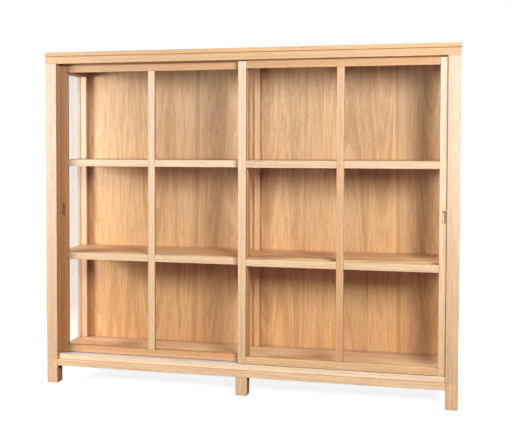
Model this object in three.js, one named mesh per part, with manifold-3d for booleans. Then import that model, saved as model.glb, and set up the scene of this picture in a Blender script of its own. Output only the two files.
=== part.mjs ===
// Bookcase in oak with glazed ends and two glazed sliding doors on two tracks.
// Millimetres, +Z up, +X to the right, doors facing -Y, origin on the floor under the middle.
import * as THREE from "three";
import { mergeVertices } from "three/addons/utils/BufferGeometryUtils.js";
import Module from "manifold-3d";

const wasm = await Module();
wasm.setup();

// Overall size of the case, without the small overhang of the top board
const caseWidth = 2000;
const caseDepth = 415;
const overallHeight = 1650;

// Top board, the shadow line cut under its front and end edges, and the rail under its front edge
const topThickness = 22;
const topOverhang = 2;
const shadowLineHeight = 3;
const shadowLineDepth = 4;
const corniceHeight = 34;

// Posts
const postWidth = 56;
const rearPostDepth = 48;
const mullionWidth = 28;
const frontMullionDepth = 44;

// Rails of the ends and the back
const bottomRailHeight = 28;
const endTopRailHeight = 68;
const backTopRailHeight = 36;
const sillSetback = 8;

// Base frame and feet
const footHeight = 120;
const footDepth = 60;
const baseRailHeight = 32;
const baseRailThickness = 28;

// Boards
const shelfThickness = 26;
const bottomBoardThickness = 20;
const backPanelThickness = 8;
const backPanelInset = 6;

// Glazing
const glassThickness = 4;
const endGlassInset = 19;
const glassGrooveDepth = 8;
const glassGrooveClearance = 0.5;
const glassEndClearance = 1;
const glassShelfClearance = 1;

// Doors
const doorThickness = 30;
const stileWidth = 38;
const doorRailHeight = 34;
const glazingBarWidth = 34;
const doorSetback = 12;
const doorSpacing = 8;
const doorTuck = 5;
const doorBottomGap = 2;
const doorTopGap = 6;
const doorRearCover = 12;
const doorGlassRearLip = 6;
const glazingBarGap = 0.3;
const paneRowCount = 3;

// Grooves in the posts that the closed doors slide into
const tuckGrooveDepth = 6;
const tuckGrooveClearance = 1.5;

// Tongue on each door's top rail and its groove under the cornice
const tongueThickness = 10;
const tongueEngagement = 8;
const guideGrooveWidth = 12;
const doorLift = 7;

// Aluminium tracks, each a flanged channel in the sill, and the rollers that run in them
const trackGrooveWidth = 12;
const trackGrooveDepth = 7;
const trackWall = 1.6;
const trackFloor = 1.5;
const trackFlange = 1.2;
const rollerRadius = 12;
const rollerWidth = 6;
const rollerCrown = 0.5;
const rollerRunningGap = 0.3;
const rollerInset = 98;
const rollerPocketClearance = 1.5;
const axleRadius = 2.5;
const axleLength = 13;
const axleClearance = 0.1;
const roundSteps = 32;

// Finger pulls cut in the outer stiles
const pullLength = 60;
const pullWidth = 16;
const pullDepth = 12;
const pullSteps = 10;

// Joinery
const seat = 0.3;
const arris = 1;
const tenonLength = 14;
const tenonShoulder = 8;
const tenonCheek = 16;
const sillTenonCheek = 24;
const footTenonHeight = 7;
const postTenonHeight = 15;
const postTenonCheek = 30;
const endTopTenonHeight = 20;
const backTenonCheek = 14;
const housingDepth = 6;
const mullionHousingDepth = 5;
const shelfFrontClearance = 2;
const boardTongue = 8;
const boardTongueThickness = 8;
const panelGrooveDepth = 8;
const doorTenonLength = 26;
const doorTenonThickness = 10;
const doorTenonSetback = 5;
const doorTenonShoulder = 6;
const barTenonLength = 6;
const barTenonThickness = 8;
const barTenonShoulder = 5;
const overrun = 2;

// Places worked out from the sizes, with y measured back from the front of the case
const frontPostDepth = doorSetback + 2 * doorThickness + doorSpacing + doorRearCover;
const doorGlassSetback = doorThickness - doorGlassRearLip - glassThickness;
const halfWidth = caseWidth / 2;
const postInside = halfWidth - postWidth;
const rearPostFront = caseDepth - rearPostDepth;
const caseFloor = footHeight + bottomRailHeight;
const topUnderside = overallHeight - topThickness;
const corniceUnderside = topUnderside - corniceHeight;
const endRailUnderside = topUnderside - endTopRailHeight;
const backRailUnderside = topUnderside - backTopRailHeight;
const backPanelRear = caseDepth - backPanelInset;
const backPanelFront = backPanelRear - backPanelThickness;
const endGlassOutside = halfWidth - endGlassInset;
const endGlassInside = endGlassOutside - glassThickness;
const doorBottom = caseFloor + doorBottomGap;
const doorHeight = corniceUnderside - doorTopGap - doorBottom;
const doorWidth = (2 * postInside + stileWidth) / 2 + doorTuck;
const frontDoorFront = doorSetback;
const rearDoorFront = doorSetback + doorThickness + doorSpacing;
const doorFronts = { front: frontDoorFront, rear: rearDoorFront };
const paneHeight =
  (doorHeight - 2 * doorRailHeight - (paneRowCount - 1) * glazingBarWidth) / paneRowCount;
const tongueHeight = doorTopGap + tongueEngagement;
const guideGrooveDepth = tongueEngagement + doorLift;

const crossAxes = { x: ["y", "z"], y: ["z", "x"], z: ["x", "y"] };
const unitVectors = {
  x: new THREE.Vector3(1, 0, 0),
  y: new THREE.Vector3(0, 1, 0),
  z: new THREE.Vector3(0, 0, 1),
};

const finishes = {
  oak: { color: 0xe3c197, roughness: 0.62, metalness: 0 },
  oakWarm: { color: 0xdcb184, roughness: 0.62, metalness: 0 },
  oakPale: { color: 0xeccfa9, roughness: 0.6, metalness: 0 },
  oakVeneer: { color: 0xcfa273, roughness: 0.6, metalness: 0 },
  aluminium: { color: 0xd3d3d6, roughness: 0.35, metalness: 0.9 },
  nylon: { color: 0xe9e8e2, roughness: 0.5, metalness: 0 },
  glass: { color: 0xeef5f2, roughness: 0.04, metalness: 0, transparent: true, opacity: 0.2 },
};

// A range of one coordinate, mirrored to the left when side is -1
function mirrored(side, near, far) {
  return side < 0 ? [-far, -near] : [near, far];
}

function inset([low, high], lowInset, highInset = lowInset) {
  return [low + lowInset, high - highInset];
}

function centred(middle, size) {
  return [middle - size / 2, middle + size / 2];
}

// Shapes swept along an axis, drawn in the two axes across it
function swept(shape, axis, [from, to]) {
  const [u, v] = crossAxes[axis];
  const geometry = new THREE.ExtrudeGeometry(shape, { depth: to - from, bevelEnabled: false });
  geometry.translate(0, 0, from);
  const basis = new THREE.Matrix4();
  basis.makeBasis(unitVectors[u], unitVectors[v], unitVectors[axis]);
  return geometry.applyMatrix4(basis);
}

function outline(points) {
  return new THREE.Shape(points.map(([u, v]) => new THREE.Vector2(u, v)));
}

function easedOutline([u0, u1], [v0, v1]) {
  return outline([
    [u0 + arris, v0],
    [u1 - arris, v0],
    [u1, v0 + arris],
    [u1, v1 - arris],
    [u1 - arris, v1],
    [u0 + arris, v1],
    [u0, v1 - arris],
    [u0, v0 + arris],
  ]);
}

// A planed bar whose four long edges are eased
function bar(span, axis) {
  const [u, v] = crossAxes[axis];
  return solid(swept(easedOutline(span[u], span[v]), axis, span[axis]));
}

// A square-edged block, used for tenons, cuts and glass
function block(span) {
  const size = ["x", "y", "z"].map((axis) => span[axis][1] - span[axis][0]);
  const geometry = new THREE.BoxGeometry(...size);
  geometry.translate(...["x", "y", "z"].map((axis) => (span[axis][0] + span[axis][1]) / 2));
  return solid(geometry);
}

// The same block with its joint clearance all round, for the mortise or groove that takes it
function recess(span) {
  const grown = {};
  for (const axis of ["x", "y", "z"]) grown[axis] = inset(span[axis], -seat);
  return block(grown);
}

function solid(geometry) {
  const plain = geometry.index ? geometry.toNonIndexed() : geometry.clone();
  plain.deleteAttribute("normal");
  plain.deleteAttribute("uv");
  const merged = mergeVertices(plain);
  return new wasm.Manifold(
    new wasm.Mesh({
      numProp: 3,
      vertProperties: merged.attributes.position.array,
      triVerts: new Uint32Array(merged.index.array),
    }),
  );
}

function joined(base, additions) {
  return additions.reduce((whole, addition) => whole.add(addition), base);
}

function carved(base, cuts) {
  return cuts.reduce((rest, cut) => rest.subtract(cut), base);
}

function mesh(name, body, finish, position = [0, 0, 0]) {
  const { vertProperties, triVerts } = body.getMesh();
  const geometry = new THREE.BufferGeometry();
  geometry.setAttribute("position", new THREE.BufferAttribute(new Float32Array(vertProperties), 3));
  geometry.setIndex(new THREE.BufferAttribute(new Uint32Array(triVerts), 1));
  geometry.computeVertexNormals();
  const part = new THREE.Mesh(geometry, new THREE.MeshStandardMaterial(finishes[finish]));
  part.name = name;
  part.position.set(...position);
  return part;
}

// The tenon that continues a bar past its low end (-1) or high end (+1)
function tenon(span, axis, end, length, shoulders) {
  const face = end < 0 ? span[axis][0] : span[axis][1];
  const reach = end < 0 ? [face - length, face + overrun] : [face - overrun, face + length];
  const result = { [axis]: reach };
  for (const across of crossAxes[axis]) result[across] = inset(span[across], ...shoulders[across]);
  return result;
}

const sideName = (side) => (side < 0 ? "left" : "right");
const sides = [-1, 1];

// Spans and tenons shared by the pieces that meet

const sillSpan = {
  x: [-postInside + seat, postInside - seat],
  y: [sillSetback, frontPostDepth],
  z: [footHeight + seat, caseFloor],
};
const sillTenonShoulders = { y: [sillTenonCheek], z: [tenonShoulder] };

const backBottomSpan = {
  x: sillSpan.x,
  y: [rearPostFront, caseDepth],
  z: sillSpan.z,
};
const backTopSpan = {
  x: sillSpan.x,
  y: backBottomSpan.y,
  z: [backRailUnderside, topUnderside - seat],
};
const backTenonShoulders = { y: [backTenonCheek], z: [tenonShoulder] };

function endRailSpan(side, height) {
  return {
    x: mirrored(side, postInside, halfWidth),
    y: [frontPostDepth + seat, rearPostFront - seat],
    z: height,
  };
}
const endBottomHeight = sillSpan.z;
const endTopHeight = [endRailUnderside, topUnderside - seat];
const endTenonShoulders = { x: [tenonCheek], z: [tenonShoulder] };
const endTopFrontShoulders = {
  x: [tenonCheek],
  z: [tenonShoulder, endTopRailHeight - tenonShoulder - endTopTenonHeight],
};

function frontPostSpan(side) {
  return {
    x: mirrored(side, postInside, halfWidth),
    y: [0, frontPostDepth],
    z: [footHeight + seat, corniceUnderside - seat],
  };
}

function rearPostSpan(side) {
  return {
    x: mirrored(side, postInside, halfWidth),
    y: [rearPostFront, caseDepth],
    z: [footHeight + seat, topUnderside - seat],
  };
}

const postTenonShoulders = { x: [tenonCheek], y: [postTenonCheek] };

// Shelves line up with the doors' glazing bars
function shelfTop(level) {
  return doorBottom + doorRailHeight + level * (paneHeight + glazingBarWidth);
}

function shelfHeight(level) {
  return [shelfTop(level) - shelfThickness, shelfTop(level)];
}
const shelfLevels = { lower: 1, upper: 2 };

// Feet stand under the posts, and under the base rails at the middle
const footPlaces = {
  front: [0, footDepth],
  rear: [caseDepth - footDepth, caseDepth],
};

function cornerFootSpan(side, row) {
  return {
    x: mirrored(side, postInside, halfWidth),
    y: footPlaces[row],
    z: [0, footHeight],
  };
}

function centreFootSpan(row) {
  return {
    x: centred(0, postWidth),
    y: footPlaces[row],
    z: [0, footHeight - baseRailHeight - seat],
  };
}
const footTenonShoulders = { x: [tenonCheek], y: [tenonCheek] };

function baseRailSpan(row) {
  const near = row === "front" ? 0 : caseDepth - baseRailThickness;
  return {
    x: sillSpan.x,
    y: [near, near + baseRailThickness],
    z: [footHeight - baseRailHeight, footHeight],
  };
}

function baseEndRailSpan(side) {
  return {
    x: mirrored(side, halfWidth - baseRailThickness, halfWidth),
    y: [footDepth + seat, caseDepth - footDepth - seat],
    z: [footHeight - baseRailHeight, footHeight],
  };
}
const baseTenonShoulders = { x: [tenonShoulder], y: [tenonShoulder], z: [tenonShoulder] };

function centreFootTenon(row) {
  const span = tenon(centreFootSpan(row), "z", 1, footTenonHeight, footTenonShoulders);
  return { ...span, y: inset(baseRailSpan(row).y, tenonShoulder) };
}

// The tongue round the bottom board, and the groove for it in the rails
const bottomBoardSpan = {
  x: [-postInside + seat, postInside - seat],
  y: [frontPostDepth + seat, rearPostFront - seat],
  z: [caseFloor - bottomBoardThickness, caseFloor],
};
const boardTongueHeight = centred(caseFloor - bottomBoardThickness / 2, boardTongueThickness);
const boardTongueSpans = ["x", "y"].map((axis) => ({
  ...bottomBoardSpan,
  z: boardTongueHeight,
  [axis]: inset(bottomBoardSpan[axis], -boardTongue),
}));

// Grooves for the back panels run round each bay
const backPanelGroove = [backPanelFront - seat, backPanelRear + seat];

function backPanelSpan(side) {
  return {
    x: mirrored(
      side,
      mullionWidth / 2 - panelGrooveDepth + seat,
      postInside + panelGrooveDepth - seat,
    ),
    y: [backPanelFront, backPanelRear],
    z: [caseFloor - panelGrooveDepth + seat, backRailUnderside + panelGrooveDepth - seat],
  };
}

function endGlassSpan(side) {
  const tuck = glassGrooveDepth - glassEndClearance;
  return {
    x: mirrored(side, endGlassInside, endGlassOutside),
    y: [frontPostDepth - tuck, rearPostFront + tuck],
    z: [caseFloor - tuck, endRailUnderside + tuck],
  };
}

function endGlassGroove(side) {
  const span = endGlassSpan(side);
  return {
    x: inset(span.x, -glassGrooveClearance),
    y: inset(span.y, -glassEndClearance),
    z: inset(span.z, -glassEndClearance),
  };
}

// The end of a shelf, housed in the front and rear posts
function shelfHousing(side, level) {
  return {
    x: mirrored(side, postInside - overrun, endGlassInside - glassShelfClearance),
    y: [frontPostDepth - housingDepth + seat, rearPostFront + housingDepth - seat],
    z: shelfHeight(level),
  };
}

// The edge of a shelf, housed in the sides of the front and rear mullions
function mullionHousing(side, level, depthRange) {
  const core = mullionWidth / 2 - mullionHousingDepth;
  return {
    x: mirrored(side, core + seat, mullionWidth / 2 + overrun),
    y: inset(depthRange, -overrun),
    z: shelfHeight(level),
  };
}

function eachShelf(make) {
  return Object.entries(shelfLevels).map(([name, level]) => make(level, name));
}

// Outer frame

function shadowLine() {
  const height = [topUnderside - overrun, topUnderside + shadowLineHeight];
  const outer = block({
    x: inset([-halfWidth, halfWidth], -topOverhang - overrun),
    y: [-topOverhang - overrun, caseDepth + overrun],
    z: height,
  });
  const inner = block({
    x: inset([-halfWidth, halfWidth], shadowLineDepth),
    y: [shadowLineDepth, caseDepth + 2 * overrun],
    z: inset(height, -overrun),
  });
  return outer.subtract(inner);
}

function makeTopBoard() {
  const x = inset([-halfWidth, halfWidth], -topOverhang + arris);
  const y = inset([-topOverhang, caseDepth], arris);
  const shape = outline([[x[0], y[0]], [x[1], y[0]], [x[1], y[1]], [x[0], y[1]]]);
  const geometry = new THREE.ExtrudeGeometry(shape, {
    depth: topThickness - 2 * arris,
    bevelEnabled: true,
    bevelThickness: arris,
    bevelSize: arris,
    bevelSegments: 1,
  });
  geometry.translate(0, 0, topUnderside + arris);
  return mesh("top_board", carved(solid(geometry), [shadowLine()]), "oak");
}

function makeCornice() {
  const span = {
    x: [-halfWidth, halfWidth],
    y: [0, frontPostDepth],
    z: [corniceUnderside, topUnderside - seat],
  };
  const cuts = Object.values(doorFronts).map((front) =>
    block({
      x: inset([-postInside, postInside], -tuckGrooveDepth),
      y: centred(front + doorThickness / 2, guideGrooveWidth),
      z: [corniceUnderside - overrun, corniceUnderside + guideGrooveDepth],
    }),
  );
  for (const side of sides) {
    cuts.push(recess(tenon(frontPostSpan(side), "z", 1, postTenonHeight, postTenonShoulders)));
  }
  return mesh("cornice_rail", carved(bar(span, "x"), cuts), "oakPale");
}

function makeFrontPost(side) {
  const span = frontPostSpan(side);
  const cuts = Object.values(doorFronts).map((front) =>
    block({
      x: mirrored(side, postInside - overrun, postInside + tuckGrooveDepth),
      y: inset([front, front + doorThickness], -tuckGrooveClearance),
      z: inset(span.z, -overrun),
    }),
  );
  cuts.push(
    block(endGlassGroove(side)),
    recess(tenon(sillSpan, "x", side, tenonLength, sillTenonShoulders)),
    recess(tenon(endRailSpan(side, endBottomHeight), "y", -1, tenonLength, endTenonShoulders)),
    recess(tenon(endRailSpan(side, endTopHeight), "y", -1, tenonLength, endTopFrontShoulders)),
    recess(tenon(cornerFootSpan(side, "front"), "z", 1, footTenonHeight, footTenonShoulders)),
    ...eachShelf((level) => recess(shelfHousing(side, level))),
  );
  const top = block(tenon(span, "z", 1, postTenonHeight, postTenonShoulders));
  const body = carved(joined(bar(span, "z"), [top]), cuts);
  return mesh(`front_post_${sideName(side)}`, body, "oak");
}

function makeRearPost(side) {
  const span = rearPostSpan(side);
  const cuts = [
    block({
      x: mirrored(side, postInside - overrun, postInside + panelGrooveDepth),
      y: backPanelGroove,
      z: inset(span.z, -overrun),
    }),
    block(endGlassGroove(side)),
    recess(tenon(backBottomSpan, "x", side, tenonLength, backTenonShoulders)),
    recess(tenon(backTopSpan, "x", side, tenonLength, backTenonShoulders)),
    recess(tenon(endRailSpan(side, endBottomHeight), "y", 1, tenonLength, endTenonShoulders)),
    recess(tenon(endRailSpan(side, endTopHeight), "y", 1, tenonLength, endTenonShoulders)),
    recess(tenon(cornerFootSpan(side, "rear"), "z", 1, footTenonHeight, footTenonShoulders)),
    ...eachShelf((level) => recess(shelfHousing(side, level))),
  ];
  return mesh(`rear_post_${sideName(side)}`, carved(bar(span, "z"), cuts), "oakWarm");
}

function makeEndRail(side, name, height, frontShoulders) {
  const span = endRailSpan(side, height);
  const tenons = [
    block(tenon(span, "y", -1, tenonLength, frontShoulders)),
    block(tenon(span, "y", 1, tenonLength, endTenonShoulders)),
  ];
  const cuts = [block(endGlassGroove(side)), ...boardTongueSpans.map((tongue) => recess(tongue))];
  const body = carved(joined(bar(span, "y"), tenons), cuts);
  return mesh(`end_${name}_rail_${sideName(side)}`, body, "oak");
}

// Back

function backPanelSlot(span) {
  return block({
    x: inset(span.x, -overrun),
    y: backPanelGroove,
    z: [caseFloor - panelGrooveDepth, backRailUnderside + panelGrooveDepth],
  });
}

function makeBackRail(name, span, cuts) {
  const tenons = sides.map((side) =>
    block(tenon(span, "x", side, tenonLength, backTenonShoulders)),
  );
  const body = carved(joined(bar(span, "x"), tenons), [backPanelSlot(span), ...cuts]);
  return mesh(name, body, "oakWarm");
}

// Mullion between the two back panels, with a tongue at each end in the rails' panel grooves
function makeRearMullion() {
  const span = {
    x: centred(0, mullionWidth),
    y: [rearPostFront, caseDepth],
    z: [caseFloor + seat, backRailUnderside - seat],
  };
  const tongue = block({
    x: span.x,
    y: [backPanelFront, backPanelRear],
    z: inset(span.z, -panelGrooveDepth + 2 * seat),
  });
  const cuts = sides.flatMap((side) => [
    block({
      x: mirrored(side, mullionWidth / 2 - panelGrooveDepth, mullionWidth / 2 + overrun),
      y: backPanelGroove,
      z: inset(span.z, -panelGrooveDepth),
    }),
    ...eachShelf((level) =>
      recess(mullionHousing(side, level, [rearPostFront, backPanelFront - overrun])),
    ),
  ]);
  return mesh("rear_mullion", carved(joined(bar(span, "z"), [tongue]), cuts), "oakWarm");
}

function makeBackPanel(side) {
  return mesh(`back_panel_${sideName(side)}`, block(backPanelSpan(side)), "oakVeneer");
}

// Middle support behind the doors, from the bottom board up to the top board
function makeFrontMullion() {
  const depth = [frontPostDepth + seat, frontPostDepth + frontMullionDepth];
  const span = {
    x: centred(0, mullionWidth),
    y: depth,
    z: [caseFloor + seat, topUnderside - seat],
  };
  const cuts = sides.flatMap((side) =>
    eachShelf((level) => recess(mullionHousing(side, level, depth))),
  );
  return mesh("front_mullion", carved(bar(span, "z"), cuts), "oak");
}

// Bottom and shelves

function trackGroove(front) {
  return {
    x: [-halfWidth, halfWidth],
    y: centred(front + doorThickness / 2, trackGrooveWidth),
    z: [caseFloor - trackGrooveDepth, caseFloor + overrun],
  };
}

// The flange of a track covers the sill from its door's face to the next door's way
function trackFlangeSpan(front) {
  return [front, front + doorThickness + doorSpacing - seat];
}

// A shallow bed in the sill, so that the flange lies flush
function trackBed(front) {
  return {
    x: [-halfWidth, halfWidth],
    y: inset(trackFlangeSpan(front), -seat),
    z: [caseFloor - trackFlange - seat, caseFloor + overrun],
  };
}

function makeSill() {
  const tenons = sides.map((side) =>
    block(tenon(sillSpan, "x", side, tenonLength, sillTenonShoulders)),
  );
  const body = joined(bar(sillSpan, "x"), tenons);
  const grooves = Object.values(doorFronts).flatMap((front) => [
    block(trackGroove(front)),
    block(trackBed(front)),
  ]);
  const tongueGrooves = boardTongueSpans.map((tongue) => recess(tongue));
  return mesh("sill", carved(body, [...grooves, ...tongueGrooves]), "oakPale");
}

// A channel section, open upwards, with a flange on each side
function makeTrack(name, front) {
  const groove = trackGroove(front);
  const [y0, y1] = inset(groove.y, seat);
  const [flangeFront, flangeRear] = trackFlangeSpan(front);
  const z0 = groove.z[0] + seat;
  const z1 = caseFloor;
  const section = outline([
    [y0, z0],
    [y1, z0],
    [y1, z1 - trackFlange],
    [flangeRear, z1 - trackFlange],
    [flangeRear, z1],
    [y1 - trackWall, z1],
    [y1 - trackWall, z0 + trackFloor],
    [y0 + trackWall, z0 + trackFloor],
    [y0 + trackWall, z1],
    [flangeFront, z1],
    [flangeFront, z1 - trackFlange],
    [y0, z1 - trackFlange],
  ]);
  return mesh(`${name}_track`, solid(swept(section, "x", sillSpan.x)), "aluminium");
}

function makeBottomBoard() {
  const tongues = boardTongueSpans.map((tongue) => block(tongue));
  const body = joined(bar(bottomBoardSpan, "x"), tongues);
  return mesh("bottom_board", body, "oakVeneer");
}

// Plan of a shelf, notched round the mullions and the posts
function shelfOutline(side) {
  const middle = seat / 2;
  const core = mullionWidth / 2 - mullionHousingDepth + seat;
  const front = frontPostDepth + shelfFrontClearance;
  const mullionRear = frontPostDepth + frontMullionDepth + seat;
  const rear = backPanelFront - seat;
  const postLine = postInside - seat;
  const housed = shelfHousing(side, shelfLevels.lower);
  const end = endGlassInside - glassShelfClearance;
  const points = [
    [middle, mullionRear],
    [core, mullionRear],
    [core, front],
    [postInside + seat, front],
    [postInside + seat, housed.y[0]],
    [end, housed.y[0]],
    [end, housed.y[1]],
    [postLine, housed.y[1]],
    [postLine, rear],
    [core, rear],
    [core, rearPostFront - seat],
    [middle, rearPostFront - seat],
  ];
  return outline(points.map(([x, y]) => [side * x, y]));
}

function makeShelf(side, level, name) {
  const body = solid(swept(shelfOutline(side), "z", [0, shelfThickness]));
  const place = [0, 0, shelfTop(level) - shelfThickness];
  return mesh(`${name}_shelf_${sideName(side)}`, body, "oakVeneer", place);
}

function makeEndGlass(side) {
  return mesh(`end_glass_${sideName(side)}`, block(endGlassSpan(side)), "glass");
}

// Base frame

function makeBaseRail(row) {
  const span = baseRailSpan(row);
  const tenons = sides.map((side) =>
    block(tenon(span, "x", side, tenonLength, baseTenonShoulders)),
  );
  const body = joined(bar(span, "x"), tenons);
  return mesh(`${row}_base_rail`, carved(body, [recess(centreFootTenon(row))]), "oak");
}

function makeBaseEndRail(side) {
  const span = baseEndRailSpan(side);
  const tenons = sides.map((end) =>
    block(tenon(span, "y", end, tenonLength, baseTenonShoulders)),
  );
  return mesh(`end_base_rail_${sideName(side)}`, joined(bar(span, "y"), tenons), "oak");
}

function makeCornerFoot(side, row) {
  const span = cornerFootSpan(side, row);
  const inward = row === "front" ? -1 : 1;
  const cuts = [
    recess(tenon(baseRailSpan(row), "x", side, tenonLength, baseTenonShoulders)),
    recess(tenon(baseEndRailSpan(side), "y", inward, tenonLength, baseTenonShoulders)),
  ];
  const top = block(tenon(span, "z", 1, footTenonHeight, footTenonShoulders));
  const body = carved(joined(bar(span, "z"), [top]), cuts);
  return mesh(`${row}_foot_${sideName(side)}`, body, "oak");
}

function makeCentreFoot(row) {
  const body = joined(bar(centreFootSpan(row), "z"), [block(centreFootTenon(row))]);
  return mesh(`${row}_foot_centre`, body, "oak");
}

function makeCase() {
  const group = new THREE.Group();
  group.add(makeTopBoard(), makeCornice(), makeFrontMullion(), makeRearMullion());
  group.add(makeSill(), makeBottomBoard());
  const tongueGrooves = boardTongueSpans.map((tongue) => recess(tongue));
  group.add(makeBackRail("back_bottom_rail", backBottomSpan, tongueGrooves));
  group.add(makeBackRail("back_top_rail", backTopSpan, []));
  for (const side of sides) {
    group.add(makeFrontPost(side), makeRearPost(side));
    group.add(makeEndRail(side, "bottom", endBottomHeight, endTenonShoulders));
    group.add(makeEndRail(side, "top", endTopHeight, endTopFrontShoulders));
    group.add(makeEndGlass(side), makeBackPanel(side), makeBaseEndRail(side));
    group.add(...eachShelf((level, name) => makeShelf(side, level, name)));
  }
  for (const [name, front] of Object.entries(doorFronts)) group.add(makeTrack(name, front));
  for (const row of ["front", "rear"]) {
    group.add(makeBaseRail(row), makeCentreFoot(row));
    group.add(...sides.map((side) => makeCornerFoot(side, row)));
  }
  return group;
}

// Door parts, in the door's own frame: x from its left edge, y from its face, z from its foot

const doorDepth = [0, doorThickness];
const railLength = [stileWidth + seat, doorWidth - stileWidth - seat];
const doorRailSpans = {
  bottom: { x: railLength, y: doorDepth, z: [0, doorRailHeight] },
  top: { x: railLength, y: doorDepth, z: [doorHeight - doorRailHeight, doorHeight] },
};
const doorTenonShoulders = {
  y: [doorTenonSetback, doorThickness - doorTenonSetback - doorTenonThickness],
  z: [doorTenonShoulder],
};
const barDepth = [0, doorGlassSetback - glazingBarGap];
const barTenonShoulders = {
  x: [barTenonShoulder],
  y: [(barDepth[1] - barTenonThickness) / 2],
  z: [barTenonShoulder],
};
const centreBarSpan = {
  x: centred(doorWidth / 2, glazingBarWidth),
  y: barDepth,
  z: [doorRailHeight + seat, doorHeight - doorRailHeight - seat],
};

const doorGlassSpan = {
  x: inset([stileWidth, doorWidth - stileWidth], -glassGrooveDepth + glassEndClearance),
  y: [doorGlassSetback, doorGlassSetback + glassThickness],
  z: inset([doorRailHeight, doorHeight - doorRailHeight], -glassGrooveDepth + glassEndClearance),
};
const doorGlassGroove = {
  x: inset(doorGlassSpan.x, -glassEndClearance),
  y: inset(doorGlassSpan.y, -glazingBarGap, -glassGrooveClearance),
  z: inset(doorGlassSpan.z, -glassEndClearance),
};

// A cross bar fills half the door's width at one level, left or right of the centre bar
function crossBarSpan(half, level) {
  const x =
    half < 0
      ? [stileWidth + seat, centreBarSpan.x[0] - seat]
      : [centreBarSpan.x[1] + seat, doorWidth - stileWidth - seat];
  const top = doorRailHeight + level * (paneHeight + glazingBarWidth);
  return { x, y: barDepth, z: [top - glazingBarWidth, top] };
}

function crossBarTenon(half, level, end) {
  return tenon(crossBarSpan(half, level), "x", end, barTenonLength, barTenonShoulders);
}

function pullCutter(middle) {
  const radius = pullWidth / 2;
  const straight = pullLength / 2 - radius;
  const slot = new THREE.Shape();
  slot.absarc(straight, 0, radius, -Math.PI / 2, Math.PI / 2, false);
  slot.absarc(-straight, 0, radius, Math.PI / 2, (3 * Math.PI) / 2, false);
  const points = slot.getPoints(pullSteps);
  const geometry = swept(new THREE.Shape(points), "y", [-overrun, pullDepth]);
  geometry.translate(middle, 0, doorHeight / 2);
  return solid(geometry);
}

// An outer stile has the finger pull; a meeting stile is plain
function makeStile(door, half, isOuter) {
  const x = half < 0 ? [0, stileWidth] : [doorWidth - stileWidth, doorWidth];
  const span = { x, y: doorDepth, z: [0, doorHeight] };
  const cuts = Object.values(doorRailSpans).map((rail) =>
    recess(tenon(rail, "x", half, doorTenonLength, doorTenonShoulders)),
  );
  cuts.push(block(doorGlassGroove));
  cuts.push(...eachShelf((level) => recess(crossBarTenon(half, level, half))));
  if (isOuter) cuts.push(pullCutter((x[0] + x[1]) / 2));
  const name = `${door}_door_${isOuter ? "pull" : "meeting"}_stile`;
  return mesh(name, carved(bar(span, "z"), cuts), isOuter ? "oakWarm" : "oakPale");
}

function axleHeight() {
  const runningFace = caseFloor - trackGrooveDepth + seat + trackFloor;
  return runningFace + rollerRunningGap + rollerRadius - doorBottom;
}

const rollerPlaces = { left: rollerInset, right: doorWidth - rollerInset };

// A cylinder along y, centred across the door's thickness
function crossCylinder(radius, length, x) {
  const geometry = new THREE.CylinderGeometry(radius, radius, length, roundSteps);
  geometry.translate(x, doorThickness / 2, axleHeight());
  return solid(geometry);
}

function makeDoorRail(door, name) {
  const span = doorRailSpans[name];
  const additions = sides.map((side) =>
    block(tenon(span, "x", side, doorTenonLength, doorTenonShoulders)),
  );
  const cuts = [block(doorGlassGroove)];
  const barEnd = name === "top" ? 1 : -1;
  cuts.push(recess(tenon(centreBarSpan, "z", barEnd, barTenonLength, barTenonShoulders)));
  if (name === "top") additions.push(block(guideTongue(span)));
  if (name === "bottom") cuts.push(...Object.values(rollerPlaces).flatMap(rollerPocket));
  const body = carved(joined(bar(span, "x"), additions), cuts);
  return mesh(`${door}_door_${name}_rail`, body, "oakWarm");
}

function guideTongue(span) {
  return {
    x: span.x,
    y: centred(doorThickness / 2, tongueThickness),
    z: [doorHeight - overrun, doorHeight + tongueHeight],
  };
}

// Pocket for a roller, open below, with a bearing hole at each side of it
function rollerPocket(place) {
  const reach = rollerRadius + rollerPocketClearance;
  const pocket = block({
    x: centred(place, 2 * reach),
    y: centred(doorThickness / 2, rollerWidth + 2 * rollerPocketClearance),
    z: [-overrun, axleHeight() + reach],
  });
  const bearing = crossCylinder(axleRadius + axleClearance, axleLength + 2 * seat, place);
  return [pocket, bearing];
}

// Nylon wheel on a steel pin, both turned to one profile
function makeRoller(door, place, x) {
  const halfPin = axleLength / 2;
  const halfWheel = rollerWidth / 2;
  const shoulder = rollerRadius - rollerCrown;
  const profile = [
    [0, -halfPin],
    [axleRadius, -halfPin],
    [axleRadius, -halfWheel],
    [shoulder, -halfWheel],
    [rollerRadius, -halfWheel + rollerCrown],
    [rollerRadius, halfWheel - rollerCrown],
    [shoulder, halfWheel],
    [axleRadius, halfWheel],
    [axleRadius, halfPin],
    [0, halfPin],
  ];
  const points = profile.map(([radius, height]) => new THREE.Vector2(radius, height));
  const body = solid(new THREE.LatheGeometry(points, roundSteps));
  const position = [x, doorThickness / 2, axleHeight()];
  return mesh(`${door}_door_roller_${place}`, body, "nylon", position);
}

function makeCentreBar(door) {
  const tenons = sides.map((end) =>
    block(tenon(centreBarSpan, "z", end, barTenonLength, barTenonShoulders)),
  );
  const cuts = sides.flatMap((half) =>
    eachShelf((level) => recess(crossBarTenon(half, level, -half))),
  );
  const body = carved(joined(bar(centreBarSpan, "z"), tenons), cuts);
  return mesh(`${door}_door_centre_bar`, body, "oak");
}

function makeCrossBar(door, half, level, name) {
  const tenons = sides.map((end) => block(crossBarTenon(half, level, end)));
  const body = joined(bar(crossBarSpan(half, level), "x"), tenons);
  return mesh(`${door}_door_${name}_bar_${sideName(half)}`, body, "oakWarm");
}

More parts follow.
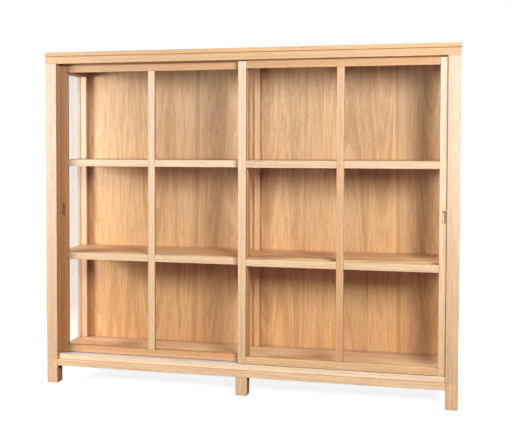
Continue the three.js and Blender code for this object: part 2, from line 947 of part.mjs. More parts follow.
function makeDoor(door, outerHalf, left, front) {
  const group = new THREE.Group();
  group.position.set(left, front, doorBottom);
  group.add(makeStile(door, outerHalf, true), makeStile(door, -outerHalf, false));
  for (const name of Object.keys(doorRailSpans)) group.add(makeDoorRail(door, name));
  group.add(makeCentreBar(door), mesh(`${door}_door_glass`, block(doorGlassSpan), "glass"));
  for (const half of sides) {
    group.add(...eachShelf((level, name) => makeCrossBar(door, half, level, name)));
  }
  for (const [place, x] of Object.entries(rollerPlaces)) group.add(makeRoller(door, place, x));
  return group;
}

const bookcase = new THREE.Group();
const fromFront = new THREE.Group();
fromFront.position.y = -(caseDepth + topOverhang) / 2 + topOverhang;
fromFront.add(makeCase());
fromFront.add(makeDoor("left", -1, -postInside - doorTuck, rearDoorFront));
fromFront.add(makeDoor("right", 1, postInside + doorTuck - doorWidth, frontDoorFront));
bookcase.add(fromFront);

export default bookcase;
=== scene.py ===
"""Dresses and lights an oak bookcase with two sliding glass doors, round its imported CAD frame."""

import math
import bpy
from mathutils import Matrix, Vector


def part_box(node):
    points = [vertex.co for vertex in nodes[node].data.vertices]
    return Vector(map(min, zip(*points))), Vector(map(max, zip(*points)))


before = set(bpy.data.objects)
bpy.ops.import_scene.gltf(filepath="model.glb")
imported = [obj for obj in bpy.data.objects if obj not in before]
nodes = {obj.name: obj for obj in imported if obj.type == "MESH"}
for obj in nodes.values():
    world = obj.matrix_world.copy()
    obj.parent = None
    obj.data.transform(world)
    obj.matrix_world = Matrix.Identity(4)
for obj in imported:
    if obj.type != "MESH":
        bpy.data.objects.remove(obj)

import zlib

import bpy
from mathutils import Matrix, Vector

MM = 0.001
WHITE, BLACK = (1.0, 1.0, 1.0), (0.0, 0.0, 0.0)
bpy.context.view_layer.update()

# The photograph's camera, fitted to the straight edges of the case. Pixels of a 512 x 441 picture.
IMAGE_WIDTH, IMAGE_HEIGHT = 512, 441
FOCAL_PIXELS = 817.9
PRINCIPAL_POINT = (244.5, 173.9)
SENSOR_WIDTH_MM = 36
CAMERA_PLACE = (0.8611, -3.9682, 1.1791)
CAMERA_YAW, CAMERA_PITCH, CAMERA_ROLL = (math.radians(turn) for turn in (12.677, -1.815, -0.122))

# Studio: centre of each lamp, the point it faces, its width and height, its spread and its watts
LAMPS = {
    "left_softbox": ((-3.07, -1.65, 1.43), (-0.3, 0.0, 1.0), (1.2, 0.9), 180, 120),
    "right_softbox": ((1.78, -2.69, 1.9), (0.3, 0.0, 1.5), (1.05, 1.0), 150, 77),
    "rear_left_softbox": ((-1.4, 3.0, 3.0), (-0.2, 0.2, 1.0), (1.8, 1.6), 180, 80),
    "rear_right_softbox": ((2.9, 1.9, 2.8), (0.5, 0.1, 1.0), (1.8, 1.6), 180, 105),
}
# The lamps that give the surfaces their sheen
SHEEN_LAMPS = ("left_softbox",)
# The room's light from in front and from behind, and its front as the glass mirrors it
ROOM_LIGHT, ROOM_LIGHT_BEHIND = 0.01, 0.35
ROOM_SEEN_IN_GLASS = 0.05
# Between these places, from front (-1) to back (1), the room's front gives way to its back
ROOM_TURN = (-0.1, 0.7)
MIRRORED_TURN = (-0.1, 0.25)

FLOOR_HALF_SIZE = 30
FLOOR_DROP = 0.3 * MM
# What the floor reflects on to the bookcase, what it shows to the camera, and what it glows
FLOOR_ALBEDO, FLOOR_SHADOW, FLOOR_GLOW = 0.04, 0.5, 0.88
# Between these distances from the middle, in metres, the seen floor turns plain white
FLOOR_FADE = (1.5, 2.4)


class Graph:
    """Adds shader nodes to a material, lamp or world. An input is a value, or a socket to link."""

    # Sockets of a colour mix: factor, first and second colour; and its result
    MIX_INPUTS, MIX_RESULT = (0, 6, 7), 2
    # Noise lies mostly within this range
    NOISE_SPAN = (0.3, 0.7)

    def __init__(self, owner):
        owner.use_nodes = True
        self.tree = owner.node_tree
        self.tree.nodes.clear()

    def feed(self, socket, value):
        if isinstance(value, bpy.types.NodeSocket):
            self.tree.links.new(value, socket)
        else:
            socket.default_value = value

    def add(self, kind, inputs=None, **settings):
        node = self.tree.nodes.new("ShaderNode" + kind)
        for name, value in settings.items():
            setattr(node, name, value)
        for name, value in (inputs or {}).items():
            self.feed(node.inputs[name], value)
        return node

    def math(self, operation, *values, clamp=False):
        node = self.add("Math", operation=operation, use_clamp=clamp)
        for socket, value in zip(node.inputs, values):
            self.feed(socket, value)
        return node.outputs[0]

    def vector(self, operation, a, b=None, scale=None):
        node = self.add("VectorMath", operation=operation)
        self.feed(node.inputs[0], a)
        if b is not None:
            self.feed(node.inputs[1], b)
        if scale is not None:
            self.feed(node.inputs["Scale"], scale)
        return node.outputs["Value" if operation == "LENGTH" else "Vector"]

    def ramp(self, value, low, high, to_low=0.0, to_high=1.0):
        node = self.add("MapRange", {"Value": value, "From Min": low, "From Max": high})
        self.feed(node.inputs["To Min"], to_low)
        self.feed(node.inputs["To Max"], to_high)
        return node.outputs["Result"]

    def spread(self, noise, to_low, to_high):
        """Noise, spread from one value to another."""
        return self.ramp(noise, *self.NOISE_SPAN, to_low, to_high)

    def mix(self, factor, a, b):
        node = self.add("Mix", data_type="RGBA")
        for index, value in zip(self.MIX_INPUTS, (factor, a, b)):
            self.feed(node.inputs[index], value)
        return node.outputs[self.MIX_RESULT]

    def noise(self, vector, scale, detail, roughness=0.5, output="Fac"):
        inputs = {"Vector": vector, "Scale": scale, "Detail": detail, "Roughness": roughness}
        return self.add("TexNoise", inputs).outputs[output]

    def split(self, vector):
        return self.add("SeparateXYZ", {"Vector": vector}).outputs

    def join(self, x, y, z):
        return self.add("CombineXYZ", {"X": x, "Y": y, "Z": z}).outputs[0]

    def place(self, kind="Object"):
        return self.add("TexCoord").outputs[kind]

    def rays(self):
        return self.add("LightPath").outputs

    def seen(self, rays):
        """1 for what the camera sees, also through glass, and 0 for all other light."""
        return self.math("MAXIMUM", rays["Is Camera Ray"], rays["Is Transmission Ray"])

    def principled(self, colour, roughness, relief=None, extra=None):
        """A principled surface. Relief is the height, strength and distance of its bump."""
        inputs = {"Base Color": colour, "Roughness": roughness, **(extra or {})}
        if relief:
            bump = self.add("Bump", dict(zip(("Height", "Strength", "Distance"), relief)))
            inputs["Normal"] = bump.outputs[0]
        return self.add("BsdfPrincipled", inputs).outputs[0]

    def end(self, surface, kind="Material"):
        self.add("Output" + kind, {"Surface": surface})


def new_graph(name):
    """A new material and its graph."""
    material = bpy.data.materials.new(name)
    return material, Graph(material)


def opaque(colour):
    return (*colour, 1.0)


def grey(level):
    return opaque((level, level, level))


def share_of(name, salt):
    """A number from 0 to 1 that is always the same for the same piece."""
    steps = 10007
    return (zlib.crc32(f"{name} {salt}".encode()) % steps) / steps


# Oak: where each piece lies in its log

# For grain along x, y or z: the axes across, deep and along, and the axis across its wide face
GRAIN_AXES = {"x": "yzx", "y": "zxy", "z": "xyz"}
FACE_AXIS = {"x": "z", "y": "z", "z": "x"}
# Distance to the pith, in metres: of solid pieces, of those with flame figure and of leaves
PITH_DISTANCE, FLAME_DISTANCE, LEAF_DISTANCE = 0.34, 0.045, 0.05
# Direction of the pith, in degrees: behind the face of flame pieces and leaves, and for all others
# beside it, within this range
PITH_BEHIND, PITH_SWING = 90, 40
# Range of a piece's turn against its pith, in degrees, and of its place along the log, in metres
TILT, FLAME_TILT = 0.5, 2.4
LOG_LENGTH = 3
# How far each leaf of veneer is moved in its log, how much it leans, and the line beside it
LEAF_SHIFT = (-0.12, 0.14, 1.0)
LEAF_LEAN = (0.03, 0.07, 0.0)
LEAF_LINE = 0.4 * MM
# Middle of a noise's colour
MIDDLE = (0.5, 0.5, 0.5)


def pith_mapping(name, leaf, flame):
    """A piece's place and turn in its log."""
    tilt = FLAME_TILT if flame else TILT
    turn = [math.radians(tilt * (share_of(name, salt) - 0.5)) for salt in ("tilt", "lean")]
    beside = PITH_SWING * (share_of(name, "pith") - 0.5)
    heading = math.radians(PITH_BEHIND if flame or leaf else beside)
    distance = FLAME_DISTANCE if flame else LEAF_DISTANCE if leaf else PITH_DISTANCE
    across, deep = distance * math.cos(heading), distance * math.sin(heading)
    return {
        "Location": (across, deep, LOG_LENGTH * share_of(name, "length")),
        "Rotation": (*turn, 0.0),
    }


def lay_leaves(g, name, place, width):
    """Lays a piece up from leaves: the place within each leaf, the line beside it, and what differs
    from leaf to leaf, which is its tone, its shift in the log and its lean."""
    count = g.math("ADD", g.math("DIVIDE", place, width), share_of(name, "leaf"))
    within = g.math("MULTIPLY", g.math("FRACT", count), width)
    edge = g.ramp(g.math("PINGPONG", count, 0.5), 0.0, LEAF_LINE / width, 1.0, 0.0)
    number = {"W": g.math("FLOOR", count)}
    chance = g.add("TexWhiteNoise", number, noise_dimensions="1D").outputs
    shift = g.vector("MULTIPLY", chance["Color"], LEAF_SHIFT)
    lean = g.vector("MULTIPLY", g.vector("SUBTRACT", chance["Color"], MIDDLE), LEAF_LEAN)
    return within, edge, chance["Value"], shift, lean


def board_point(g, name, axis, leaf, flame):
    """Coordinates across, across and along the grain, in metres from this piece's own pith.

    A leaf is (axis across, width): the piece is laid up from strips of veneer or staves that wide.
    The lines between them and the tone of each are given too."""
    axes = g.split(g.place())
    place = {letter: axes[letter.upper()] for letter in "xyz"}
    face_axis, edge, tone = FACE_AXIS[axis], None, None
    if leaf:
        face_axis, width = leaf
        place[face_axis], edge, tone, shift, lean = lay_leaves(g, name, place[face_axis], width)
    across, deep, along = (place[letter] for letter in GRAIN_AXES[axis])
    if face_axis != GRAIN_AXES[axis][0]:
        across, deep = deep, across
    flat = g.join(across, deep, along)
    point = g.add("Mapping", {"Vector": flat, **pith_mapping(name, leaf, flame)}).outputs["Vector"]
    if leaf:
        point = g.vector("ADD", g.vector("ADD", point, shift), g.vector("SCALE", lean, scale=along))
    return point, edge, tone


# Oak: figure

RING_SPACING = 3.3 * MM
# How far the rings wander, in solid pieces and in those cut for flame figure
RING_WOBBLE, FLAME_WOBBLE = 2.5 * MM, 14 * MM
# How far the widths of the rings vary
SEASON_REACH = 2.5 * RING_SPACING
# Figure drawn out along the grain: how much it is squeezed, its scale, its detail and its roughness
BEND = (0.09, 10, 3, 0.5)
FIBRE = (0.014, 1100, 2, 0.5)
STREAK = (0.04, 190, 3, 0.65)
FLECK = (0.2, 260, 2, 0.5)
CLOUD = (0.4, 5, 2, 0.5)
DASH = (0.035, 3300, 1, 0.5)
# Figure that follows the rings: its scale, its detail and its roughness
SEASONS = (70.0, 1.0, 0.6)
YEARS = (28.0, 5.0, 0.8)
LINES = (150.0, 0.0, 0.6)
# Moves the dark lines to another part of the noise than the years
LINES_SHIFT = 7.0
# Parts of a ring, from 0 to 1: where late wood rises, where it ends, and where early wood ends
LATE_RISE, LATE_END, EARLY_END = (0.25, 0.86), (1.0, 0.93), (0.34, 0.12)
# Noise at which a dark line or a pore starts to show, and at which it is full
LINES_START, PORE_START = (0.62, 0.72), (0.58, 0.66)
PORES_IN_LATE_WOOD = 0.16
# What each kind of figure adds to the share of late wood
LATE_SHARE, LINES_SHARE = 0.4, 0.5
YEARS_SHARE = (-0.36, 0.5)
STREAK_SHARE = (-0.5, 0.75)
FLECK_SHARE = (-0.34, 0.34)
FIBRE_SHARE = (-0.1, 0.16)
# Brightness of cloudy patches, of leaves and of whole pieces (from, and how much more)
CLOUD_LEVEL = (0.96, 1.04)
LEAF_LEVEL = (0.93, 1.07)
PIECE_LEVEL, PIECE_LEVEL_RANGE = 0.97, 0.06
EARLY_WOOD = (1.08, 1.10, 1.13)
LATE_WOOD = (0.83, 0.74, 0.63)
PORE = (0.50, 0.38, 0.28)
# How strongly pores and the lines between leaves show, and all of the grain in solid oak and veneer
PORE_DEPTH, LEAF_LINE_DEPTH = 0.6, 0.45
SOLID_GRAIN, VENEER_GRAIN = 0.7, 1.6


def figure(g, point, kind, output="Fac"):
    """Noise that is drawn out along the grain."""
    squeeze, *settings = kind
    return g.noise(g.vector("MULTIPLY", point, (1.0, 1.0, squeeze)), *settings, output)


def ring_figure(g, distance, kind):
    """Noise that changes only with the distance from the pith."""
    inputs = dict(zip(("W", "Scale", "Detail", "Roughness"), (distance, *kind)))
    return g.add("TexNoise", inputs, noise_dimensions="1D").outputs["Fac"]


def rings(g, point, wobble):
    """Late wood and early wood of the rings, the change from year to year, and dark lines."""
    bend = g.vector("SUBTRACT", figure(g, point, BEND, "Color"), MIDDLE)
    bent = g.vector("ADD", point, g.vector("SCALE", bend, scale=wobble))
    radius = g.vector("LENGTH", g.vector("MULTIPLY", bent, (1.0, 1.0, 0.0)))
    seasons = g.math("MULTIPLY_ADD", ring_figure(g, radius, SEASONS), SEASON_REACH, radius)
    ring = g.math("FRACT", g.math("DIVIDE", seasons, RING_SPACING))
    late = g.math("MULTIPLY", g.ramp(ring, *LATE_RISE), g.ramp(ring, *LATE_END))
    early = g.ramp(ring, *EARLY_END)
    years = g.spread(ring_figure(g, radius, YEARS), *YEARS_SHARE)
    lines = ring_figure(g, g.math("ADD", radius, LINES_SHIFT), LINES)
    return late, early, years, g.ramp(lines, *LINES_START)


def late_share(g, point, late, years, lines, fibre):
    """How much of the wood's colour is that of late wood, from 0 to 1."""
    share = g.math("MULTIPLY_ADD", late, LATE_SHARE, years)
    share = g.math("ADD", share, g.math("MULTIPLY", lines, LINES_SHARE))
    share = g.math("ADD", share, g.spread(figure(g, point, STREAK), *STREAK_SHARE))
    share = g.math("ADD", share, g.spread(figure(g, point, FLECK), *FLECK_SHARE))
    return g.math("ADD", share, g.spread(fibre, *FIBRE_SHARE), clamp=True)


def brightness(g, name, point, leaf_tone):
    """Patches, leaves and whole pieces differ a little in brightness."""
    level = g.spread(figure(g, point, CLOUD), *CLOUD_LEVEL)
    if leaf_tone is not None:
        level = g.math("MULTIPLY", level, g.ramp(leaf_tone, 0.0, 1.0, *LEAF_LEVEL))
    return g.math("MULTIPLY", level, PIECE_LEVEL + PIECE_LEVEL_RANGE * share_of(name, "level"))


# Oak: tone

# Painted shade: linear tones, darker than lit faces, of faces that look left, right or down, and of
# such faces on the outside of the ends, beyond END_FACES from the middle. Others have one of TONES.
PAINTED_SHADE_SIDE_TONE = (0.62, 0.34, 0.155)
PAINTED_SHADE_END_TONE = (0.68, 0.43, 0.235)
END_FACES = 0.98
TONES = {
    "post": (0.75, 0.535, 0.36),
    "door": (0.79, 0.575, 0.37),
    "warm": (0.73, 0.45, 0.25),
    "bar": (0.75, 0.515, 0.32),
    # painted shade: the left door's pull stile lies in the front post's shadow, so its tone is
    # darker
    "painted_shade_stile": (0.74, 0.375, 0.165),
    "door_top": (0.61, 0.345, 0.165),
    # painted shade: the rear door's bottom rail sits back in shade, so its tone is darker
    "painted_shade_door_bottom": (0.71, 0.43, 0.225),
    # painted light: paler, as the lamps reach this lowest front rail less
    "door_bottom": (0.86, 0.58, 0.34),
    "cornice": (0.69, 0.42, 0.21),
    "top": (0.745, 0.425, 0.20),
    # painted light: sill, base rail and feet are paler, as the lamps reach them less near the floor
    "sill": (0.94, 0.78, 0.58),
    "base": (0.90, 0.65, 0.43),
    "foot": (0.86, 0.59, 0.38),
    "veneer": (0.75, 0.48, 0.25),
    # painted sheen and light: shelves and the bottom board are paler than the veneer, partly for
    # the sheen on their tops, and the bottom board also for the weaker light near the floor
    "shelf": (0.81, 0.53, 0.285),
    "floor_board": (0.90, 0.68, 0.45),
}
# How far a face has to look forward, back or up for its lit tone to start, and to be full;
# faces that look elsewhere take the painted shade
LIT_FACING_SPAN = (0.3, 0.8)
# Painted light: paler and cooler towards the top, warmer low down. Tint at each height in metres
PAINTED_LIGHT_DRIFT = {0.35: (1.03, 0.97, 0.90), 1.45: (0.94, 1.01, 1.17)}
# Painted shade: crevices and joint lines are darker than open faces, within this reach
PAINTED_SHADE_REACH = 9 * MM
PAINTED_SHADE_SAMPLES = 6
PAINTED_CREVICE_SHADE = (0.56, 0.42, 0.32)
# How open a place is where the painted shade of a crevice is full, and where it is gone
PAINTED_SHADE_SPAN = (0.25, 0.85)
# Light that bounces off the oak into the compartments is weaker and warmer, as its shadows are deep
BOUNCE = (0.88, 0.70, 0.50)
# Height of late wood, pores and fibre in the relief, and its strength and distance
LATE_RELIEF, PORE_RELIEF, FIBRE_RELIEF = 0.18, -0.8, 0.12
OAK_BUMP = (0.5, 0.12 * MM)
# Roughness of the fibre, and how much rougher pores are
OAK_ROUGHNESS, PORE_ROUGHNESS = (0.43, 0.53), 0.2
LACQUER = {"Specular IOR Level": 0.45}


def painted_light_tint(g, front_tone):
    """Painted light and shade in the oak's tone: by the side that a face looks to, and by its
    height.
    """
    place = g.split(g.place())
    facing = g.split(g.add("NewGeometry").outputs["Normal"])
    at_end = g.math("GREATER_THAN", g.math("ABSOLUTE", place["X"]), END_FACES)
    painted_shade = g.mix(at_end, opaque(PAINTED_SHADE_SIDE_TONE), opaque(PAINTED_SHADE_END_TONE))
    lit_facing = g.math("MAXIMUM", facing["Z"], g.math("ABSOLUTE", facing["Y"]))
    tint = g.mix(g.ramp(lit_facing, *LIT_FACING_SPAN), painted_shade, opaque(front_tone))
    (low, low_tint), (high, high_tint) = PAINTED_LIGHT_DRIFT.items()
    painted_light_drift = g.mix(g.ramp(place["Z"], low, high), opaque(low_tint), opaque(high_tint))
    return g.vector("MULTIPLY", tint, painted_light_drift)


def shade(g, colour):
    """Paints shade into crevices, and darkens what the colour gives back to its surroundings."""
    reach = {"Distance": PAINTED_SHADE_REACH}
    hidden = g.add("AmbientOcclusion", reach, samples=PAINTED_SHADE_SAMPLES).outputs["AO"]
    crevice_shade = g.mix(g.ramp(hidden, *PAINTED_SHADE_SPAN), opaque(PAINTED_CREVICE_SHADE), opaque(WHITE))
    bounce = g.mix(g.rays()["Is Diffuse Ray"], opaque(WHITE), opaque(BOUNCE))
    return g.vector("MULTIPLY", g.vector("MULTIPLY", colour, crevice_shade), bounce)


def oak(name, axis, front_tone, depth, leaf=None, flame=False):
    """Straight-grained oak: rings round a pith outside the piece, pores in early wood, fine fibre.

    A flame piece is cut near its pith, so its rings run out over the face in long arches."""
    material, g = new_graph(name)
    point, edge, leaf_tone = board_point(g, name, axis, leaf, flame)
    late, early, years, lines = rings(g, point, FLAME_WOBBLE if flame else RING_WOBBLE)
    fibre = figure(g, point, FIBRE)
    pore = g.ramp(figure(g, point, DASH), *PORE_START)
    pore = g.math("MULTIPLY", pore, g.ramp(early, 0.0, 1.0, PORES_IN_LATE_WOOD, 1.0))

    share = late_share(g, point, late, years, lines, fibre)
    grain = g.mix(share, opaque(EARLY_WOOD), opaque(LATE_WOOD))
    grain = g.vector("SCALE", grain, scale=brightness(g, name, point, leaf_tone))
    dark = g.math("MULTIPLY", pore, PORE_DEPTH)
    if leaf:
        dark = g.math("MAXIMUM", dark, g.math("MULTIPLY", edge, LEAF_LINE_DEPTH))
    grain = g.vector("MULTIPLY", grain, g.mix(dark, opaque(WHITE), opaque(PORE)))
    grain = g.mix(depth, opaque(WHITE), grain)
    # Painted light and shade: the tone by the side a face looks to and by height, and darker
    # crevices
    colour = shade(g, g.vector("MULTIPLY", grain, painted_light_tint(g, front_tone)))

    height = g.math("MULTIPLY_ADD", late, LATE_RELIEF, g.math("MULTIPLY", pore, PORE_RELIEF))
    height = g.math("ADD", height, g.math("MULTIPLY", fibre, FIBRE_RELIEF))
    rough = g.spread(fibre, *OAK_ROUGHNESS)
    rough = g.math("ADD", rough, g.math("MULTIPLY", pore, PORE_ROUGHNESS))
    g.end(g.principled(colour, rough, (height, *OAK_BUMP), LACQUER))
    return material


# Glass, aluminium and nylon

# The end panes bend light as glass does. Those of the doors bend it less, so they mirror less.
DOOR_GLASS, DOOR_GLASS_IOR = (0.965, 0.975, 0.97), 1.2
END_GLASS, END_GLASS_IOR = (0.98, 0.97, 0.945), 1.5
HAZE = (0.96, 0.965, 0.96)
# Scale and detail of the haze, and the noise at which it starts and is full
HAZE_FIGURE = (3.0, 3)
HAZE_SPAN = (0.35, 0.75)
ALUMINIUM_DARK, ALUMINIUM_LIGHT = (0.72, 0.70, 0.72), (0.86, 0.84, 0.86)
METALLIC = {"Metallic": 0.35}
# Fine drawn lines and faint wipes: how much they are squeezed along X, their scale and their detail
DRAWN_LINES, WIPES = (0.01, 2600, 3), (0.3, 30, 3)
# Strength and distance of each bump
ALUMINIUM_BUMP = (0.3, 0.02 * MM)
ALUMINIUM_ROUGHNESS = (0.42, 0.54)
NYLON_DARK, NYLON_LIGHT = (0.74, 0.73, 0.69), (0.84, 0.83, 0.79)
MOTTLE, NYLON_GRAIN = (180, 3), (1600, 2)
NYLON_BUMP = (0.3, 0.03 * MM)
NYLON_ROUGHNESS = (0.4, 0.55)


def glass(name, tint, bend):
    """Clear float glass. Lamps shine through it, and a faint haze varies its tint."""
    material, g = new_graph(name)
    haze = g.ramp(g.noise(g.place(), *HAZE_FIGURE), *HAZE_SPAN)
    colour = g.mix(haze, opaque(tint), opaque(HAZE))
    pane = g.principled(colour, 0.0, extra={"IOR": bend, "Transmission Weight": 1.0})
    clear = g.add("BsdfTransparent", {"Color": opaque(tint)})
    rays = g.rays()
    through = g.math("MAXIMUM", rays["Is Shadow Ray"], rays["Is Diffuse Ray"])
    shown = g.add("MixShader", {"Fac": through})
    g.feed(shown.inputs[1], pane)
    g.feed(shown.inputs[2], clear.outputs[0])
    g.end(shown.outputs[0])
    return material


def drawn_figure(g, point, kind):
    squeeze, *settings = kind
    return g.noise(g.vector("MULTIPLY", point, (squeeze, 1.0, 1.0)), *settings)


def aluminium(name):
    """Anodised channel, drawn lengthwise, so its fine lines run along X."""
    material, g = new_graph(name)
    point = g.place()
    lines = drawn_figure(g, point, DRAWN_LINES)
    rough = g.spread(drawn_figure(g, point, WIPES), *ALUMINIUM_ROUGHNESS)
    colour = g.mix(lines, opaque(ALUMINIUM_DARK), opaque(ALUMINIUM_LIGHT))
    g.end(g.principled(colour, rough, (lines, *ALUMINIUM_BUMP), METALLIC))
    return material


def nylon(name):
    """Moulded nylon: a faint mottle and a fine grain."""
    material, g = new_graph(name)
    point = g.place()
    mottle = g.noise(point, *MOTTLE)
    colour = g.mix(mottle, opaque(NYLON_DARK), opaque(NYLON_LIGHT))
    rough = g.spread(mottle, *NYLON_ROUGHNESS)
    g.end(g.principled(colour, rough, (g.noise(point, *NYLON_GRAIN), *NYLON_BUMP)))
    return material


# Which finish each node gets

# Widths of the leaves of veneer and of the staves
VENEER_LEAF, SHELF_LEAF, TOP_STAVE = 0.118, 0.098, 0.084
# Pieces whose names end like this have a tone of their own; some of these tones are painted shade
# or painted light, as TONES notes
ENDS_OF_TONE = {
    "door_top": ("_door_top_rail",),
    # painted shade for the rear door's bottom rail
    "painted_shade_door_bottom": ("left_door_bottom_rail",),
    "door_bottom": ("right_door_bottom_rail",),
    "warm": ("right_door_centre_bar", "rear_mullion"),
    "bar": ("right_door_upper_bar_left", "right_door_upper_bar_right"),
    # painted shade for the pull stile, which lies in the front post's shadow
    "painted_shade_stile": ("left_door_pull_stile",),
    "cornice": ("cornice_rail",),
    "sill": ("sill",),
    "base": ("front_base_rail",),
}
FLAME_PIECES = (
    "right_door_centre_bar",
    "front_post_right",
    "left_door_meeting_stile",
    "front_base_rail",
)
WELD_REACH = 0.01 * MM
# Faces that turn by less than the first are one flat face; an arris turns by more than the second
FLAT_DEGREES, ARRIS_DEGREES = 1, 35
ROUNDING, FINE_ROUNDING = 0.45 * MM, 0.12 * MM
ROUNDING_SEGMENTS = 2
# Pieces that have steps as fine as their fit clearance are eased less, or not at all
FINE_STEPPED = (
    "back_bottom_rail",
    "back_top_rail",
    "left_door_bottom_rail",
    "right_door_bottom_rail",
)
AS_CUT = ("end_bottom_rail_left", "end_bottom_rail_right")


def grain_axis(name):
    """Grain runs along a piece's longest side, and up the back panels."""
    if name.startswith("back_panel"):
        return "z"
    low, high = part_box(name)
    spans = {letter: high[index] - low[index] for index, letter in enumerate("xyz")}
    return max(spans, key=spans.get)


def oak_finish(name):
    """(tone, depth of the grain, leaf, flame) for a wooden node."""
    if name.startswith("back_panel"):
        return TONES["veneer"], VENEER_GRAIN, ("x", VENEER_LEAF), False
    if name == "bottom_board" or "_shelf_" in name:
        tone = TONES["floor_board" if name == "bottom_board" else "shelf"]
        return tone, VENEER_GRAIN, ("y", SHELF_LEAF), False
    if name == "top_board":
        return TONES["top"], SOLID_GRAIN, ("y", TOP_STAVE), False
    group = "foot" if "_foot_" in name else "door" if "_door_" in name else "post"
    group = next((tone for tone, ends in ENDS_OF_TONE.items() if name.endswith(ends)), group)
    return TONES[group], SOLID_GRAIN, None, name in FLAME_PIECES


def soften_edges(piece, width):
    """Rounds the planed arrises. Flat faces are joined first, so only real edges are rounded."""
    weld = piece.modifiers.new("join_faces", "WELD")
    weld.merge_threshold = WELD_REACH
    merge = piece.modifiers.new("merge_flat_faces", "DECIMATE")
    merge.decimate_type = "DISSOLVE"
    merge.angle_limit = math.radians(FLAT_DEGREES)
    bevel = piece.modifiers.new("eased_edges", "BEVEL")
    bevel.width = width
    bevel.segments = ROUNDING_SEGMENTS
    bevel.limit_method = "ANGLE"
    bevel.angle_limit = math.radians(ARRIS_DEGREES)


def dress(piece, material):
    piece.data.materials.clear()
    piece.data.materials.append(material)


def dress_all():
    door_glass = glass("door_glass", DOOR_GLASS, DOOR_GLASS_IOR)
    end_glass = glass("end_glass", END_GLASS, END_GLASS_IOR)
    track_metal = aluminium("track_aluminium")
    roller_nylon = nylon("roller_nylon")
    for name, piece in nodes.items():
        if name.endswith("_door_glass"):
            dress(piece, door_glass)
        elif name.startswith("end_glass"):
            dress(piece, end_glass)
        elif name.endswith("_track"):
            dress(piece, track_metal)
        elif "_roller_" in name:
            dress(piece, roller_nylon)
        else:
            dress(piece, oak("oak_" + name, grain_axis(name), *oak_finish(name)))
            if name not in AS_CUT:
                soften_edges(piece, FINE_ROUNDING if name in FINE_STEPPED else ROUNDING)


# Studio

def floor_material():
    """Keeps the bookcase's shadow near it, and fades to plain white away from it."""
    material, g = new_graph("floor")
    seen = g.seen(g.rays())
    distance = g.vector("LENGTH", g.place())
    away = g.math("MULTIPLY", g.ramp(distance, *FLOOR_FADE), seen)
    albedo = g.mix(away, g.mix(seen, grey(FLOOR_ALBEDO), grey(FLOOR_SHADOW)), opaque(BLACK))
    glow = g.math("MULTIPLY", seen, g.ramp(away, 0.0, 1.0, FLOOR_GLOW, 1.0))
    surface = g.add("AddShader")
    g.feed(surface.inputs[0], g.add("BsdfDiffuse", {"Color": albedo}).outputs[0])
    white = g.add("Emission", {"Color": opaque(WHITE), "Strength": glow})
    g.feed(surface.inputs[1], white.outputs[0])
    g.end(surface.outputs[0])
    return material


def make_floor():
    corners = [(-1, -1), (1, -1), (1, 1), (-1, 1)]
    points = [(x * FLOOR_HALF_SIZE, y * FLOOR_HALF_SIZE, -FLOOR_DROP) for x, y in corners]
    mesh = bpy.data.meshes.new("floor")
    mesh.from_pydata(points, [], [(0, 1, 2, 3)])
    mesh.materials.append(floor_material())
    floor = bpy.data.objects.new("floor", mesh)
    bpy.context.scene.collection.objects.link(floor)


def make_world():
    """White to the camera and through glass. Its soft light comes mostly from behind."""
    world = bpy.data.worlds.new("studio")
    bpy.context.scene.world = world
    g = Graph(world)
    rays = g.rays()
    mirror = rays["Is Glossy Ray"]
    back = g.split(g.place("Generated"))["Y"]
    mirrored = g.ramp(back, *MIRRORED_TURN, ROOM_SEEN_IN_GLASS, 1.0)
    lit = g.ramp(back, *ROOM_TURN, ROOM_LIGHT, ROOM_LIGHT_BEHIND)
    mirrored = g.math("MULTIPLY", mirrored, mirror)
    lit = g.math("MULTIPLY", lit, g.math("SUBTRACT", 1.0, mirror))
    level = g.math("MAXIMUM", g.seen(rays), g.math("ADD", mirrored, lit))
    g.end(g.add("Background", {"Color": opaque(WHITE), "Strength": level}).outputs[0], "World")


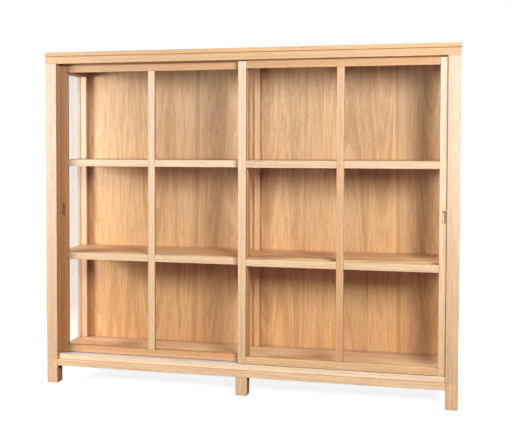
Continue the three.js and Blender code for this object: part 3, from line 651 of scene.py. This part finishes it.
def keep_out_of_glass(light):
    """The lamp gives wood and metal their sheen, but no bright square in a mirror-smooth pane."""
    g = Graph(light)
    glow = g.math("SUBTRACT", 1.0, g.rays()["Is Singular Ray"])
    g.end(g.add("Emission", {"Color": opaque(WHITE), "Strength": glow}).outputs[0], "Light")


def make_lamps():
    for name, (place, target, (width, height), spread, power) in LAMPS.items():
        light = bpy.data.lights.new(name, "AREA")
        light.shape = "RECTANGLE"
        light.size, light.size_y = width, height
        light.energy = power
        light.spread = math.radians(spread)
        keep_out_of_glass(light)
        lamp = bpy.data.objects.new(name, light)
        lamp.location = place
        aim = Vector(target) - Vector(place)
        lamp.rotation_euler = aim.to_track_quat("-Z", "Y").to_euler()
        lamp.visible_glossy = name in SHEEN_LAMPS
        lamp.visible_camera = False
        lamp.visible_transmission = False
        bpy.context.scene.collection.objects.link(lamp)


def camera_axes():
    """The camera's right, up and forward directions, from its yaw, pitch and roll."""
    level = math.cos(CAMERA_PITCH)
    aim = (-math.sin(CAMERA_YAW) * level, math.cos(CAMERA_YAW) * level, math.sin(CAMERA_PITCH))
    forward = Vector(aim)
    right = forward.cross(Vector((0, 0, 1))).normalized()
    right = Matrix.Rotation(CAMERA_ROLL, 3, forward) @ right
    return right, right.cross(forward), forward


def make_camera():
    data = bpy.data.cameras.new("camera")
    data.sensor_width = SENSOR_WIDTH_MM
    data.lens = FOCAL_PIXELS * SENSOR_WIDTH_MM / IMAGE_WIDTH
    data.shift_x = (IMAGE_WIDTH / 2 - PRINCIPAL_POINT[0]) / IMAGE_WIDTH
    data.shift_y = (PRINCIPAL_POINT[1] - IMAGE_HEIGHT / 2) / IMAGE_WIDTH
    camera = bpy.data.objects.new("camera", data)
    right, up, forward = camera_axes()
    turn = Matrix((right, up, -forward)).transposed().to_4x4()
    camera.matrix_world = Matrix.Translation(CAMERA_PLACE) @ turn
    bpy.context.scene.collection.objects.link(camera)
    bpy.context.scene.camera = camera


dress_all()
make_floor()
make_world()
make_lamps()
make_camera()
bpy.context.scene.view_settings.view_transform = "Standard"
